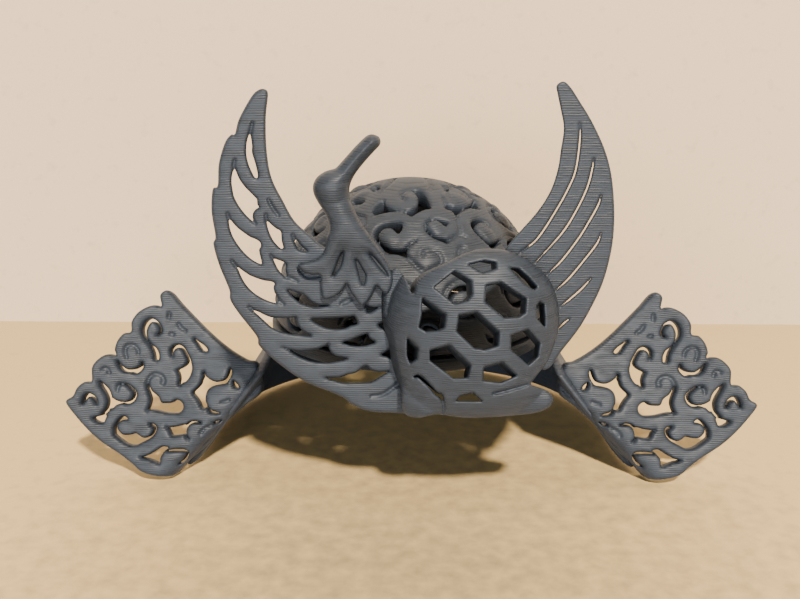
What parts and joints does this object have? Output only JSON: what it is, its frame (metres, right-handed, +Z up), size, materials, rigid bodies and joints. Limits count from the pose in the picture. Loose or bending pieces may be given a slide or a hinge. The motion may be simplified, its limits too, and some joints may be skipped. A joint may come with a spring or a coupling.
{
  "type": "ornamental samurai helmet",
  "caption": "Small openwork samurai helmet ornament that stands on a table: pierced bowl, flared neck guard, curled side flaps and a winged crest with a crane and a turtle.",
  "frame": {"origin": "middle of the footprint, on the table", "axes": "+Z up, -Y towards the crest at the front, +X to the right seen from the front"},
  "size_m": [0.1006, 0.068, 0.0593],
  "materials": {
    "print_grey": "matte grey printed plastic with fine level layer lines"
  },
  "bodies": {
    "root": {"bowl": "print_grey", "bowl_band": "print_grey", "neck_guard": "print_grey", "left_flap": "print_grey", "right_flap": "print_grey", "crane_wing": "print_grey", "crane_petals": "print_grey", "crane_neck": "print_grey", "turtle_tail": "print_grey", "turtle_shell": "print_grey", "turtle_upper_flipper": "print_grey", "turtle_lower_flipper": "print_grey", "turtle_head": "print_grey", "crest_bracket": "print_grey"}
  },
  "joints": []
}
